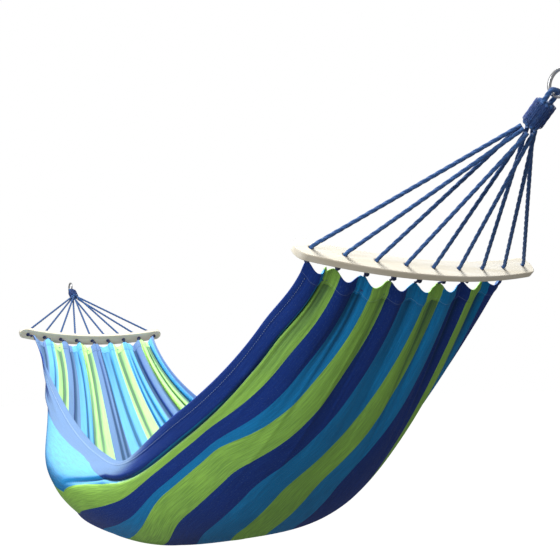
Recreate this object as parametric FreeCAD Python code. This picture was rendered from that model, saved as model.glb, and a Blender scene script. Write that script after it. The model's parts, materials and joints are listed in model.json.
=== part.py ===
import FreeCAD, Part
import math
import os
from FreeCAD import Vector

os.makedirs("parts", exist_ok=True)

# Sizes are in millimetres. X runs from the far end to the near end, Y across, Z up.
# The origin is the centre of the near ring's bore. The far end mirrors the near end.

# Suspension
fan_elevation = 37.6
fan_reach = 327.0
gather_lift = 10.0
line_radius = 4.0
line_circle_radius = 10.8
line_bend_lead = 3.0
line_start_depth = 2.0
line_split = 14.0
seat_gap = 0.3

# Whipped neck, rope eye and steel ring
neck_radius = 16.0
neck_length = 44.0
whipping_radius = 1.25
whipping_turns = 13
whipping_pitch = 3.0
whipping_gap = 0.05
ring_bore_radius = 20.0
ring_band = 5.0
ring_width = 7.0
ring_edge_radius = 2.0
eye_rope_radius = 4.5
eye_side_gap = 0.7
eye_leg = 14.0

# Spreader bars
bar_length = 600.0
bar_width = 45.0
bar_thickness = 15.0
bar_rise = 35.0
bar_edge_radius = 2.5
cords_per_end = 9
hole_end_margin = 32.0
hole_pitch = (bar_length - 2 * hole_end_margin) / (cords_per_end - 1)
hole_clearance = 0.9

# Short cords and their knots
hem_cord_radius = 2.5
line_tail_depth = 8.5
hem_cord_gap = 3.0
bar_knot_radius = 7.5
bar_knot_height = 6.0
bar_knot_clearance = 0.95
knot_rounding = 0.42
hem_knot_radius = 5.5
hem_knot_height = 7.0
hem_knot_offset = 8.0
hem_knot_clearance = 0.05
hem_cord_lead = 8.0
hem_cord_inset = 4.0
hem_cord_overrun = 4.0
hem_drop = 44.0
hem_lift = 13.0

# Woven bed
bar_spacing = 2052.0
hem_half_width = 255.0
belly_half_width = 408.0
belly_sag = 616.0
edge_sag = 385.0
hem_curve = 28.0
belly_exponent = 2.43
edge_exponent = 2.09
section_exponent = 4.4
pleat_depth = 7.0
pleat_fade = 0.42
cloth_thickness = 3.0
side_hem_thickness = 5.0
side_hem_share = 0.03
side_hem_gap_share = 0.0004
band_thickness = 8.5
band_depth = 26.0
scallop_depth = 6.0
scallop_land = 11.0
hem_rope_radius = 2.5
hem_rope_clearance = 0.15
hem_rope_inset = 19.0
hem_rope_end_share = 0.01
stations_per_half = 6

# Directions at the near end: along the cords towards the ring, and up in the bar's plane
tilt = math.radians(fan_elevation)
along_dir = Vector(math.cos(tilt), 0, math.sin(tilt))
up_dir = Vector(-math.sin(tilt), 0, math.cos(tilt))
side_dir = Vector(0, 1, 0)

# Distances from the bar's middle plane, along the cords
neck_end = fan_reach + neck_length
band_centre = neck_end + eye_leg
ring_centre = band_centre + ring_bore_radius + ring_band / 2
bar_centre = along_dir * -ring_centre - up_dir * gather_lift
bar_face = bar_thickness / 2
middle_x = bar_centre.x - bar_spacing / 2

# The bar's smile is one circle
smile_radius = ((bar_length / 2) ** 2 + bar_rise**2) / (2 * bar_rise)
last_cord = (cords_per_end - 1) // 2
cord_indices = range(-last_cord, last_cord + 1)

# The bed's end line
hem_x = bar_centre.x - hem_drop * math.cos(tilt) - hem_lift * math.sin(tilt)
hem_z = bar_centre.z - hem_drop * math.sin(tilt) + hem_lift * math.cos(tilt)
bed_half_length = hem_x - middle_x


def fan_point(along, side, up):
    return bar_centre + along_dir * along + side_dir * side + up_dir * up


def smile(side):
    return smile_radius - math.sqrt(smile_radius**2 - side**2)


def mirrored(shape):
    return shape.mirror(Vector(middle_x, 0, 0), Vector(1, 0, 0))


def export(shape, name):
    shape.exportStep("parts/" + name + ".step")


def export_pair(shape, name):
    export(shape, "near_" + name)
    export(mirrored(shape), "far_" + name)


# Paths are straight runs and arcs

def arc_from_tangent(start, tangent, end):
    chord = end - start
    length = chord.Length
    chord_dir = chord * (1 / length)
    tangent_dir = Vector(tangent).normalize()
    bulge = tangent_dir - chord_dir * tangent_dir.dot(chord_dir)
    if bulge.Length < 1e-6:
        return Part.makeLine(start, end)
    half_angle = math.atan2(bulge.Length, tangent_dir.dot(chord_dir))
    height = length / 2 * math.tan(half_angle / 2)
    middle = start + chord * 0.5 + bulge.normalize() * height
    return Part.Arc(start, middle, end).toShape()


def biarc(start, start_dir, end, end_dir):
    gap = end - start
    turn = start_dir + end_dir
    slack = 2 * (1 - start_dir.dot(end_dir))
    if slack < 1e-9:
        reach = gap.dot(gap) / (2 * gap.dot(turn))
    else:
        root = math.sqrt(gap.dot(turn) ** 2 + slack * gap.dot(gap))
        reach = (root - gap.dot(turn)) / slack
    joint = (start + start_dir * reach + end - end_dir * reach) * 0.5
    first = arc_from_tangent(start, start_dir, joint)
    second = arc_from_tangent(end, end_dir * -1, joint)
    return [first, second]


def smooth_chain(points, directions):
    edges = []
    for k in range(len(points) - 1):
        edges += biarc(points[k], directions[k], points[k + 1], directions[k + 1])
    return edges


def bent_path(points):
    edges = []
    start = points[0]
    for before, corner, after in zip(points, points[1:], points[2:]):
        run_in = corner - before
        run_out = after - corner
        turn = run_in.getAngle(run_out)
        if turn < 0.01:
            continue
        reach = 0.45 * min(run_in.Length, run_out.Length)
        print("bend radius", round(reach / math.tan(turn / 2), 1))
        enter = corner - Vector(run_in).normalize() * reach
        leave = corner + Vector(run_out).normalize() * reach
        edges.append(Part.makeLine(start, enter))
        edges.append(arc_from_tangent(enter, run_in, leave))
        start = leave
    edges.append(Part.makeLine(start, points[-1]))
    return edges


def tube(edges, radius, start, direction):
    spine = Part.Wire(edges)
    profile = Part.Wire([Part.makeCircle(radius, start, direction)])
    return spine.makePipeShell([profile], True, False)


# Bar end fittings

def ring():
    inner = ring_bore_radius
    outer = ring_bore_radius + ring_band
    half = ring_width / 2
    corners = [(inner, -half), (outer, -half), (outer, half), (inner, half), (inner, -half)]
    section = Part.Face(Part.makePolygon([Vector(r, y, 0) for r, y in corners]))
    band = section.revolve(Vector(0, 0, 0), Vector(0, 1, 0), 360)
    return band.makeFillet(ring_edge_radius, band.Edges)


def rope_eye():
    bend = ring_width / 2 + eye_side_gap
    leg_side = bend + eye_rope_radius
    across = ring_width / 2 - ring_edge_radius
    reach = math.sqrt((bend - seat_gap - ring_edge_radius) ** 2 - across**2)
    crown = band_centre + ring_band / 2 - ring_edge_radius - reach
    foot_a = fan_point(neck_end, leg_side, gather_lift)
    foot_b = fan_point(neck_end, -leg_side, gather_lift)
    turn_a = fan_point(crown, leg_side, gather_lift)
    turn_b = fan_point(crown, -leg_side, gather_lift)
    top = fan_point(crown + leg_side, 0, gather_lift)
    edges = [Part.makeLine(foot_a, turn_a)]
    edges.append(arc_from_tangent(turn_a, along_dir, top))
    edges.append(arc_from_tangent(turn_b, along_dir, top))
    edges.append(Part.makeLine(turn_b, foot_b))
    return tube(edges, eye_rope_radius, foot_a, along_dir)


def neck():
    foot = fan_point(fan_reach, 0, gather_lift)
    core = Part.makeCylinder(neck_radius, neck_length, foot, along_dir)
    return core.fuse(Part.makeSphere(neck_radius, foot)).removeSplitter()


def whipping():
    coil_radius = neck_radius + whipping_radius + whipping_gap
    wound = whipping_turns * whipping_pitch
    first = fan_reach + (neck_length - wound) / 2
    lead = whipping_pitch / (2 * math.pi)
    points = []
    directions = []
    for quarter in range(4 * whipping_turns + 1):
        angle = quarter * math.pi / 2
        side = coil_radius * math.cos(angle)
        up = coil_radius * math.sin(angle)
        points.append(fan_point(first + lead * angle, side, gather_lift + up))
        heading = side_dir * -up + up_dir * side + along_dir * lead
        directions.append(heading.normalize())
    start = points[0] - directions[0] * (2 * whipping_radius)
    finish = points[-1] + directions[-1] * (2 * whipping_radius)
    edges = [Part.makeLine(start, points[0])]
    edges += smooth_chain(points, directions)
    edges.append(Part.makeLine(points[-1], finish))
    turns = [e.valueAt(e.FirstParameter + (e.LastParameter - e.FirstParameter) * s)
             for e in edges[1:-1] for s in (0.0, 0.5)]
    per_turn = 16
    apart = min((turns[k] - turns[k + per_turn]).Length for k in range(len(turns) - per_turn))
    print("whipping: least gap between turns", round(apart - 2 * whipping_radius, 2))
    return tube(edges, whipping_radius, start, directions[0])


# Suspension lines, one per hole

def line_seat(index):
    if index == 0:
        return 0.0, 0.0
    inner = abs(index) <= last_cord / 2
    step = math.pi / (2 * last_cord)
    angle = step * (last_cord - 1) if inner else step
    height = line_circle_radius * math.sin(angle) * (-1 if index % 2 else 1)
    return math.copysign(line_circle_radius * math.cos(angle), index), height


def whole_line(index):
    seat_side, seat_up = line_seat(index)
    side = index * hole_pitch
    up = smile(side)
    start = fan_point(fan_reach - line_start_depth, seat_side, gather_lift + seat_up)
    bend = fan_point(bar_face + line_bend_lead, side, up)
    end = fan_point(bar_face - line_tail_depth, side, up)
    body = tube(bent_path([start, bend, end]), line_radius, start, bend - start)
    dome = Part.makeSphere(neck_radius + seat_gap, fan_point(fan_reach, 0, gather_lift))
    return body.cut(dome)


def below_split(distance):
    foot = fan_point(distance - bar_length, 0, 0)
    return Part.makeCylinder(bar_length, bar_length, foot, along_dir)


def suspension_line(index):
    return whole_line(index).cut(below_split(line_split + seat_gap / 2))


def line_tails():
    lower = below_split(line_split - seat_gap / 2)
    return Part.makeCompound([whole_line(index).common(lower).Solids[0] for index in cord_indices])


def spreader_bar():
    half_width = bar_width / 2
    half_angle = math.asin((bar_length / 2 - half_width) / smile_radius)

    def rim(radius, angle):
        return fan_point(-bar_face, radius * math.sin(angle), smile_radius - radius * math.cos(angle))

    lower = smile_radius + half_width
    upper = smile_radius - half_width
    edges = [Part.Arc(rim(lower, -half_angle), rim(lower, 0), rim(lower, half_angle)).toShape()]
    edges.append(end_cap(rim, half_angle))
    edges.append(Part.Arc(rim(upper, half_angle), rim(upper, 0), rim(upper, -half_angle)).toShape())
    edges.append(end_cap(rim, -half_angle))
    board = Part.Face(Part.Wire(Part.__sortEdges__(edges))).extrude(along_dir * bar_thickness)
    board = board.makeFillet(bar_edge_radius, board.Edges)
    for index in cord_indices:
        side = index * hole_pitch
        mouth = fan_point(-bar_face - 1, side, smile(side))
        drill = Part.makeCylinder(line_radius + hole_clearance, bar_thickness + 2, mouth, along_dir)
        board = board.cut(drill)
    return board


def end_cap(rim, angle):
    half_width = bar_width / 2
    lower = rim(smile_radius + half_width, angle)
    upper = rim(smile_radius - half_width, angle)
    centre = (lower + upper) * 0.5
    outward = side_dir * math.cos(angle) + up_dir * math.sin(angle)
    tip = centre + outward * math.copysign(half_width, angle)
    return Part.Arc(lower, tip, upper).toShape()


# Short cords between each bar and the bed, with a knot at either end

def knot(centre, axis, radius, height, bore):
    ball = Part.makeCylinder(radius, height, centre - axis * (height / 2), axis)
    ball = ball.makeFillet(height * knot_rounding, ball.Edges)
    drill = Part.makeCylinder(bore, height + 2, centre - axis * (height / 2 + 1), axis)
    return ball.cut(drill)


def bar_knots():
    knots = []
    bore = hem_cord_radius + bar_knot_clearance
    for index in cord_indices:
        side = index * hole_pitch
        centre = fan_point(-bar_face - bar_knot_height / 2, side, smile(side))
        knots.append(knot(centre, along_dir, bar_knot_radius, bar_knot_height, bore))
    return Part.makeCompound(knots)


def hem_point(index):
    share = index / last_cord
    y = share * (hem_half_width - hem_cord_inset)
    return Vector(hem_x, y, bed_height(hem_x, y / hem_half_width))


def hem_cord_route(index):
    side = index * hole_pitch
    up = smile(side)
    top = fan_point(bar_face - line_tail_depth - hem_cord_gap, side, up)
    bend = fan_point(-bar_face - bar_knot_height - hem_cord_lead, side, up)
    return [top, bend, hem_point(index)]


def hem_cords():
    cords = []
    inside = Part.makeBox(bar_length, 2 * bar_length, 2 * bar_length)
    inside.translate(Vector(hem_x + seat_gap - bar_length, -bar_length, hem_z - bar_length))
    for index in cord_indices:
        route = hem_cord_route(index)
        route[-1] = route[-1] + (route[-1] - route[-2]).normalize() * hem_cord_overrun
        body = tube(bent_path(route), hem_cord_radius, route[0], route[1] - route[0])
        cords.append(body.cut(inside))
    return Part.makeCompound(cords)


def hem_knots():
    knots = []
    for index in cord_indices:
        route = hem_cord_route(index)
        axis = (route[1] - route[2]).normalize()
        centre = route[2] + axis * hem_knot_offset
        bore = hem_cord_radius + hem_knot_clearance
        knots.append(knot(centre, axis, hem_knot_radius, hem_knot_height, bore))
    return Part.makeCompound(knots)


# Woven bed. Its height over a place x and a share q of the half width, from -1 to 1

def bed_place(x):
    return abs(x - middle_x) / bed_half_length


def belly_height(x):
    return hem_z - belly_sag * (1 - bed_place(x) ** belly_exponent)


def edge_height(x):
    t = bed_place(x)
    return hem_z + hem_curve * t**8 - edge_sag * (1 - t**edge_exponent)


def half_width(x):
    open_share = math.cos(math.pi / 2 * min(bed_place(x), 1.0)) ** 2
    return hem_half_width + (belly_half_width - hem_half_width) * open_share


def bed_height(x, q):
    t = min(bed_place(x), 1.0)
    power = 2 + (section_exponent - 2) * math.sqrt(math.cos(math.pi / 2 * t))
    return belly_height(x) + (edge_height(x) - belly_height(x)) * abs(q) ** power


def section_curve(x, samples):
    fine = 240
    points = []
    for k in range(fine + 1):
        q = -1 + 2 * k / fine
        points.append(Vector(x, q * half_width(x), bed_height(x, q)))
    run = [0.0]
    for k in range(fine):
        run.append(run[-1] + (points[k + 1] - points[k]).Length)
    chosen = []
    for share in samples:
        target = share * run[-1]
        k = min(max(sum(1 for r in run if r < target), 1), fine)
        left = (target - run[k - 1]) / (run[k] - run[k - 1])
        place = points[k - 1] + (points[k] - points[k - 1]) * left
        chosen.append((place, (points[k] - points[k - 1]).normalize()))
    return chosen


def pleat(x):
    t = bed_place(x)
    fade = max(0.0, (t - (1 - pleat_fade)) / pleat_fade)
    return pleat_depth * fade * fade


def slope_factor(x):
    step = 1.0
    rise = (belly_height(x + step) - belly_height(x - step)) / 2 / step
    edge = (edge_height(x + step) - edge_height(x - step)) / 2 / step
    mean = (rise + edge) / 2
    return math.sqrt(1 + mean**2)


def section_wire(x, first, last, thickness):
    count = 4 * last_cord
    shares = [k / count for k in range(count + 1)]
    if first > 0 or last < 1:
        shares = [s for s in shares if first < s < last]
        shares = [first] + shares + [last]
    if len(shares) == 2:
        shares = [shares[0], (shares[0] + shares[1]) / 2, shares[1]]
    half = thickness * slope_factor(x) / 2
    lower = []
    upper = []
    heads = []
    for share, (place, heading) in zip(shares, section_curve(x, shares)):
        normal = Vector(0, -heading.z, heading.y)
        wave = pleat(x) * math.cos(math.pi * share * count)
        lower.append(place + normal * (wave - half))
        upper.append(place + normal * (wave + half))
        heads.append(heading)
    edges = smooth_chain(lower, heads)
    edges.append(Part.makeLine(lower[-1], upper[-1]))
    edges += smooth_chain(upper[::-1], [h * -1 for h in heads[::-1]])
    edges.append(Part.makeLine(upper[0], lower[0]))
    return Part.Wire(edges)


def bed_loft(places, first, last, thickness):
    wires = [section_wire(x, first, last, thickness) for x in places]
    return Part.makeLoft(wires, True, False)


def bed_stations():
    end = bed_half_length - band_depth
    near = [end * math.sin(math.pi / 2 * k / stations_per_half) for k in range(stations_per_half + 1)]
    return [middle_x - s for s in near[:0:-1]] + [middle_x + s for s in near]


def canvas_bed():
    return bed_loft(bed_stations(), side_hem_share, 1 - side_hem_share, cloth_thickness)


def side_hem():
    inner = side_hem_share - side_hem_gap_share
    return bed_loft(bed_stations(), 0.0, inner, side_hem_thickness)


def hem_band():
    places = [hem_x - band_depth, hem_x - band_depth / 2, hem_x]
    band = bed_loft(places, 0.0, 1.0, band_thickness)
    pitch = 2 * hem_half_width / (2 * last_cord)
    half_chord = pitch / 2 - scallop_land / 2
    radius = (half_chord**2 + scallop_depth**2) / (2 * scallop_depth)
    for bay in range(2 * last_cord):
        y = -hem_half_width + pitch * (bay + 0.5)
        foot = Vector(hem_x + radius - scallop_depth, y, hem_z - hem_half_width)
        band = band.cut(Part.makeCylinder(radius, 2 * hem_half_width, foot))
    return band


def hem_rope_path():
    count = 4 * last_cord
    shares = [k / count for k in range(count + 1)]
    shares[0] = hem_rope_end_share
    shares[-1] = 1 - hem_rope_end_share
    x = hem_x - hem_rope_inset
    points = []
    heads = []
    for share, (place, heading) in zip(shares, section_curve(x, shares)):
        normal = Vector(0, -heading.z, heading.y)
        points.append(place + normal * (pleat(x) * math.cos(math.pi * share * count)))
        heads.append(heading)
    return points, heads


def hem_rope(radius):
    points, heads = hem_rope_path()
    return tube(smooth_chain(points, heads), radius, points[0], heads[0])


export_pair(ring(), "ring")
export_pair(rope_eye(), "rope_eye")
export_pair(neck(), "gathered_neck")
export_pair(whipping(), "whipping")
for cord_index in cord_indices:
    export_pair(suspension_line(cord_index), "suspension_line_%d" % (cord_index + last_cord + 1))
export_pair(line_tails(), "line_tails")
export_pair(spreader_bar(), "spreader_bar")
export_pair(bar_knots(), "bar_knots")
export_pair(hem_cords(), "hem_cords")
export_pair(hem_knots(), "hem_knots")

export_pair(hem_rope(hem_rope_radius), "hem_rope")
export_pair(hem_band().cut(hem_rope(hem_rope_radius + hem_rope_clearance)), "hem_band")
export(canvas_bed(), "canvas_bed")
left_hem = side_hem()
export(left_hem, "left_side_hem")
export(left_hem.mirror(Vector(0, 0, 0), Vector(0, 1, 0)), "right_side_hem")
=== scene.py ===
# %% [markdown]
# A camping hammock, dressed for its portrait
#
# The CAD frame already holds the exact sizes and the joints of a hammock with two
# spreader bars. This lesson gives it its looks: woven canvas in stripes, twisted cords
# with knots, sanded boards and steel rings. Each cell makes one thing and prints what
# it made, so the cells can be read and run from top to bottom.

# %% Load the frame
import json
import math
import bpy
import numpy as np
from mathutils import Matrix, Vector
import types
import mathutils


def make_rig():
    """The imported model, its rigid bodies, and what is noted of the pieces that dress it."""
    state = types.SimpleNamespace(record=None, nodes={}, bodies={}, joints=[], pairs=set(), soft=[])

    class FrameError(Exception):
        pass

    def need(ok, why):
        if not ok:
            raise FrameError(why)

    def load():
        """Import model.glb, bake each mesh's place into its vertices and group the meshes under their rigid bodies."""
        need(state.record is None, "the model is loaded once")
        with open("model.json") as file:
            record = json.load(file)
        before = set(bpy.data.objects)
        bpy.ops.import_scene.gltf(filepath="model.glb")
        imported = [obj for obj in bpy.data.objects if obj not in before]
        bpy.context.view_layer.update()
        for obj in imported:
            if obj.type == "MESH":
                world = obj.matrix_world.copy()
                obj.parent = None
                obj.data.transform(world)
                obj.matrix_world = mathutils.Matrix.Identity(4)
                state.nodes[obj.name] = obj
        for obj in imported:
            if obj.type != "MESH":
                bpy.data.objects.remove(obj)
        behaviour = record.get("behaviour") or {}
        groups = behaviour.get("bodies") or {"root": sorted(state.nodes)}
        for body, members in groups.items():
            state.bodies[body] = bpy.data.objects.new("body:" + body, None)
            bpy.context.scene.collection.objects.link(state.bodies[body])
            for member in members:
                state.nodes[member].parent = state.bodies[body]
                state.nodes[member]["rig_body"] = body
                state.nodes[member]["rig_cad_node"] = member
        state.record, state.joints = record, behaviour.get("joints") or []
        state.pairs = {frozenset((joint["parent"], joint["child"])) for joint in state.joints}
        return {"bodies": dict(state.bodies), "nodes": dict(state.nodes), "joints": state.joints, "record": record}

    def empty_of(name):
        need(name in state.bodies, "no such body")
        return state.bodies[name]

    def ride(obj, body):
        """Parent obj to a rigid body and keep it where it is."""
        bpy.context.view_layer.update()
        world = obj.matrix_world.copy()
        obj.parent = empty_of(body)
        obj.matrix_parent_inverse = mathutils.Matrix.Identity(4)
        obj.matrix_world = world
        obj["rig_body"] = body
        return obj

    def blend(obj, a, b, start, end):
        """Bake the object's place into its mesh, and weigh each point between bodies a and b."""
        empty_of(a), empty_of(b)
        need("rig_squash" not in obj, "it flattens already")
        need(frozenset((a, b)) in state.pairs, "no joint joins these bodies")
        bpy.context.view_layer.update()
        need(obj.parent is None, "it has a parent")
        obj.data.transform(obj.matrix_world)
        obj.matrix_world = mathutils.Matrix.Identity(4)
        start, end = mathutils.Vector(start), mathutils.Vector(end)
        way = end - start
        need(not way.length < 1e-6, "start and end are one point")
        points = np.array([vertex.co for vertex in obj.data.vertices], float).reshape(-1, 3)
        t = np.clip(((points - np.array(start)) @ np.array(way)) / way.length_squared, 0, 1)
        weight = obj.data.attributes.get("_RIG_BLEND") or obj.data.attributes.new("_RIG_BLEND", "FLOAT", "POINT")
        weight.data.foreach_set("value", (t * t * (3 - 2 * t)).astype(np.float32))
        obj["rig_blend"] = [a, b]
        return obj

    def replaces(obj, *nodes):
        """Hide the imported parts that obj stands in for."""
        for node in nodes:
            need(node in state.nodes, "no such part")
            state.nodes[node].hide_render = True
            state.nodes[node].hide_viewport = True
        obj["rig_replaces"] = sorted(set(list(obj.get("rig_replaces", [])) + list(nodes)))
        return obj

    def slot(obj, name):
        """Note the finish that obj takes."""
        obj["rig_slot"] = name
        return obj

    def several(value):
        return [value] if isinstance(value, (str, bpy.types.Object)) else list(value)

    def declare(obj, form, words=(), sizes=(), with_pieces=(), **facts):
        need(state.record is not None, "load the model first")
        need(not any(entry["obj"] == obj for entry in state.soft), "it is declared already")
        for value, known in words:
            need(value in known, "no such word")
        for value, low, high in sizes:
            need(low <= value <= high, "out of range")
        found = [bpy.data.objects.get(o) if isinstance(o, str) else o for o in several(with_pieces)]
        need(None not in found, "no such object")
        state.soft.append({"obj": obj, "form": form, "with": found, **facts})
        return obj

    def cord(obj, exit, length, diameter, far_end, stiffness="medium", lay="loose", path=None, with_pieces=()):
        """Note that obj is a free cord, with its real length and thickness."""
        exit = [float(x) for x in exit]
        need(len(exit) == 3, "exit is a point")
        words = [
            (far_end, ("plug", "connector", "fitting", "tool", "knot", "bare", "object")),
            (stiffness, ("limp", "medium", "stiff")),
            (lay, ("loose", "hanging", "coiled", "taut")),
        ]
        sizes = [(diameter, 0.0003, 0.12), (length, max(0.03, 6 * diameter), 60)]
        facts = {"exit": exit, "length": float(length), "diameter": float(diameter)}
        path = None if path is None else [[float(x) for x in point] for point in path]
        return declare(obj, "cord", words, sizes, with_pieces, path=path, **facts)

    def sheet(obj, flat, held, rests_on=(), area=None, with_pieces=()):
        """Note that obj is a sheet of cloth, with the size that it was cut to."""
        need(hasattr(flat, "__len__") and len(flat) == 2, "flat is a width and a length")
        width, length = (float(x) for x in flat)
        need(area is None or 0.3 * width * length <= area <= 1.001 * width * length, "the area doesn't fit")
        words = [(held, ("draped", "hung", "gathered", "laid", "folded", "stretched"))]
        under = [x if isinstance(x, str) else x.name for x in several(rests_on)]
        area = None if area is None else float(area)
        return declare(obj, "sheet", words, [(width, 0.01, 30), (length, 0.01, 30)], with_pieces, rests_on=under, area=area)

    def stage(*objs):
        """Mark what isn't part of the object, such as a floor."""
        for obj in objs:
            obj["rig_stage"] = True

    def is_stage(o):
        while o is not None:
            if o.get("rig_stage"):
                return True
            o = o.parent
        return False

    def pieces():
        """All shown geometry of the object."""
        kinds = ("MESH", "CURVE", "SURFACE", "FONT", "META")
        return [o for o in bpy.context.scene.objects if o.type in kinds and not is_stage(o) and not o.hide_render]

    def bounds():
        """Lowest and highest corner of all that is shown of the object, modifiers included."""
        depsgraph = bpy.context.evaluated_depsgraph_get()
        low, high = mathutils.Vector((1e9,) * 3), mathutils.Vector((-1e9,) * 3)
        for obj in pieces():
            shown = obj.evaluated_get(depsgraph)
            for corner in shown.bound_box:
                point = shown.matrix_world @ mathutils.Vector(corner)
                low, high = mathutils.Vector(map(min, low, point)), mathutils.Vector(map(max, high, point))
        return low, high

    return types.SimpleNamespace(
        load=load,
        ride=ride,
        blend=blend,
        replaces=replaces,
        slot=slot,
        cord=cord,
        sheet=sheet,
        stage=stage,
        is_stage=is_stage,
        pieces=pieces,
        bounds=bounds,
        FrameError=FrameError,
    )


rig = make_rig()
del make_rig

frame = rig.load()
cad_box = [list(corner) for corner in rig.bounds()]
print("frame:", len(frame["nodes"]), "nodes on", len(frame["bodies"]), "bodies")

# %% [markdown]
# The hammock's own numbers
#
# Every later piece has to meet the frame, so the few sizes that place it are repeated
# here in metres. The far end mirrors the near end about one plane, and one small
# function does the mirroring for whole lists of points.

# %% Sizes shared with the frame
tilt = math.radians(37.6)
along_dir = np.array([math.cos(tilt), 0.0, math.sin(tilt)])
up_dir = np.array([-math.sin(tilt), 0.0, math.cos(tilt)])
side_dir = np.array([0.0, 1.0, 0.0])

fan_reach = 0.327
neck_length = 0.044
neck_radius = 0.016
line_circle = 0.0108
line_radius = 0.004
gather_lift = 0.010
seat_gap = 0.0003
eye_leg = 0.014
ring_radius = 0.0225
ring_centre = fan_reach + neck_length + eye_leg + ring_radius
bar_centre = -along_dir * ring_centre - up_dir * gather_lift
bar_face = 0.0075
hole_pitch = 0.067
bar_half_length = 0.3
bar_rise = 0.035
smile_radius = (bar_half_length**2 + bar_rise**2) / (2 * bar_rise)
bar_spacing = 2.052
middle_x = bar_centre[0] - bar_spacing / 2
hem_cord_radius = 0.0025
cord_gaps = 8
cord_numbers = range(-4, 5)
ends = ("near", "far")


def fan_point(along, side, up):
    return bar_centre + along_dir * along + side_dir * side + up_dir * up


def smile(side):
    return smile_radius - math.sqrt(smile_radius**2 - side**2)


def at_end(end, points):
    points = np.array(points, float)
    if end == "far":
        points[..., 0] = 2 * middle_x - points[..., 0]
    return points


print("near bar at", bar_centre.round(4), "middle of the bed at", round(middle_x, 4))

# %% [markdown]
# The camera
#
# The photograph was taken from low down beside the near end, looking along the bed.
# Nine holes in each bar and the two points where the cords meet gave the place of the
# camera, so here it is only set. A photographer would call the lens a 48 mm.

# %% Camera
def look(yaw, pitch, roll):
    forward = Vector((math.cos(yaw) * math.cos(pitch), math.sin(yaw) * math.cos(pitch), math.sin(pitch)))
    right = forward.cross(Vector((0, 0, 1))).normalized()
    up = right.cross(forward)
    turned_right = right * math.cos(roll) + up * math.sin(roll)
    turned_up = up * math.cos(roll) - right * math.sin(roll)
    return Matrix((turned_right, turned_up, -forward)).transposed()


camera_turn = [math.radians(angle) for angle in (148.49, 7.84, -1.59)]
camera = bpy.data.objects.new("camera", bpy.data.cameras.new("camera"))
bpy.context.scene.collection.objects.link(camera)
camera.data.sensor_width = 36.0
camera.data.lens = 48.47
camera.data.shift_x = 0.0098
camera.location = (0.735, -0.995, -0.462)
camera.rotation_mode = "QUATERNION"
camera.rotation_quaternion = look(*camera_turn).to_quaternion()
bpy.context.scene.camera = camera
print("camera at", camera.location[:], "with a", round(camera.data.lens), "mm lens")

# %% [markdown]
# Shader maths as plain Python
#
# A material is a graph of nodes, and long graphs are hard to read as calls. The small
# class below wraps one output socket, so that an expression such as 1 - mask * 0.5
# adds the Math nodes by itself. Numbers alone stay numbers. Colours are mixed by Mix
# nodes and places by Vector Math, because a Math node would turn a colour grey.

# %% The socket wrapper
class Shade:
    def __init__(self, tree, socket=None):
        self.tree = tree
        self.socket = socket

    def node(self, kind, settings, inputs, output=0):
        made = self.tree.nodes.new(kind)
        for name, value in settings.items():
            if name == "stops":
                set_stops(made.color_ramp, value)
            else:
                setattr(made, name, value)
        for name, value in inputs.items():
            if isinstance(value, Shade):
                self.tree.links.new(value.socket, made.inputs[name])
            else:
                made.inputs[name].default_value = value
        return Shade(self.tree, made.outputs[output])

    def maths(self, operation, *values):
        return self.node("ShaderNodeMath", {"operation": operation}, dict(enumerate(values)))

    def __add__(self, other):
        return self.maths("ADD", self, other)

    def __radd__(self, other):
        return self.maths("ADD", other, self)

    def __sub__(self, other):
        return self.maths("SUBTRACT", self, other)

    def __rsub__(self, other):
        return self.maths("SUBTRACT", other, self)

    def __mul__(self, other):
        return self.maths("MULTIPLY", self, other)

    def __rmul__(self, other):
        return self.maths("MULTIPLY", other, self)

    def __truediv__(self, other):
        return self.maths("DIVIDE", self, other)

    def __rtruediv__(self, other):
        return self.maths("DIVIDE", other, self)


def set_stops(ramp, stops):
    ramp.interpolation = "CONSTANT"
    while len(ramp.elements) < len(stops):
        ramp.elements.new(0.5)
    for element, (place, colour) in zip(ramp.elements, stops):
        element.position = place
        element.color = colour


print("operators ready:", [name for name in vars(Shade) if name.startswith("__r")])

# %% [markdown]
# One way to start every finish
#
# Each finish is a Principled shader with a few fixed numbers, and links for what
# changes over the surface. The next cell holds that start, the colour mix, the noise
# and the bump, which nearly every finish shares.

# %% Finish helpers
def finish(name, fixed):
    material = bpy.data.materials.new(name)
    material.use_nodes = True
    shader = material.node_tree.nodes["Principled BSDF"]
    for socket, value in fixed.items():
        shader.inputs[socket].default_value = value
    return material, Shade(material.node_tree), shader


def feed(shader, socket, shade):
    shader.id_data.links.new(shade.socket, shader.inputs[socket])


def places(graph):
    return graph.node("ShaderNodeTexCoord", {}, {}, "Object")


def reading(graph, name):
    return graph.node("ShaderNodeAttribute", {"attribute_name": name}, {}, "Vector")


def parts_of(vector):
    return [vector.node("ShaderNodeSeparateXYZ", {}, {0: vector}, k) for k in range(3)]


def joined(graph, x, y, z):
    return graph.node("ShaderNodeCombineXYZ", {}, {"X": x, "Y": y, "Z": z})


def noise(vector, scale, detail=2.0, roughness=0.5):
    return vector.node("ShaderNodeTexNoise", {}, {
        "Vector": vector, "Scale": scale, "Detail": detail, "Roughness": roughness})


def vector_maths(operation, first, second, output=0):
    return first.node("ShaderNodeVectorMath", {"operation": operation}, {0: first, 1: second}, output)


def mixed(share, first, second):
    settings = {"data_type": "RGBA", "clamp_factor": True}
    return share.node("ShaderNodeMix", settings, {0: share, 6: first, 7: second}, 2)


def ranged(value, low, high, to_low=0.0, to_high=1.0):
    return value.node("ShaderNodeMapRange", {"interpolation_type": "SMOOTHSTEP"}, {
        "Value": value, "From Min": low, "From Max": high, "To Min": to_low, "To Max": to_high})


def bump(height, strength, distance):
    return height.node("ShaderNodeBump", {}, {"Height": height, "Strength": strength, "Distance": distance})


def rgb(red, green, blue):
    linear = [c / 255 / 12.92 if c / 255 <= 0.04045 else ((c / 255 + 0.055) / 1.055) ** 2.4
              for c in (red, green, blue)]
    return (*linear, 1.0)


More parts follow.
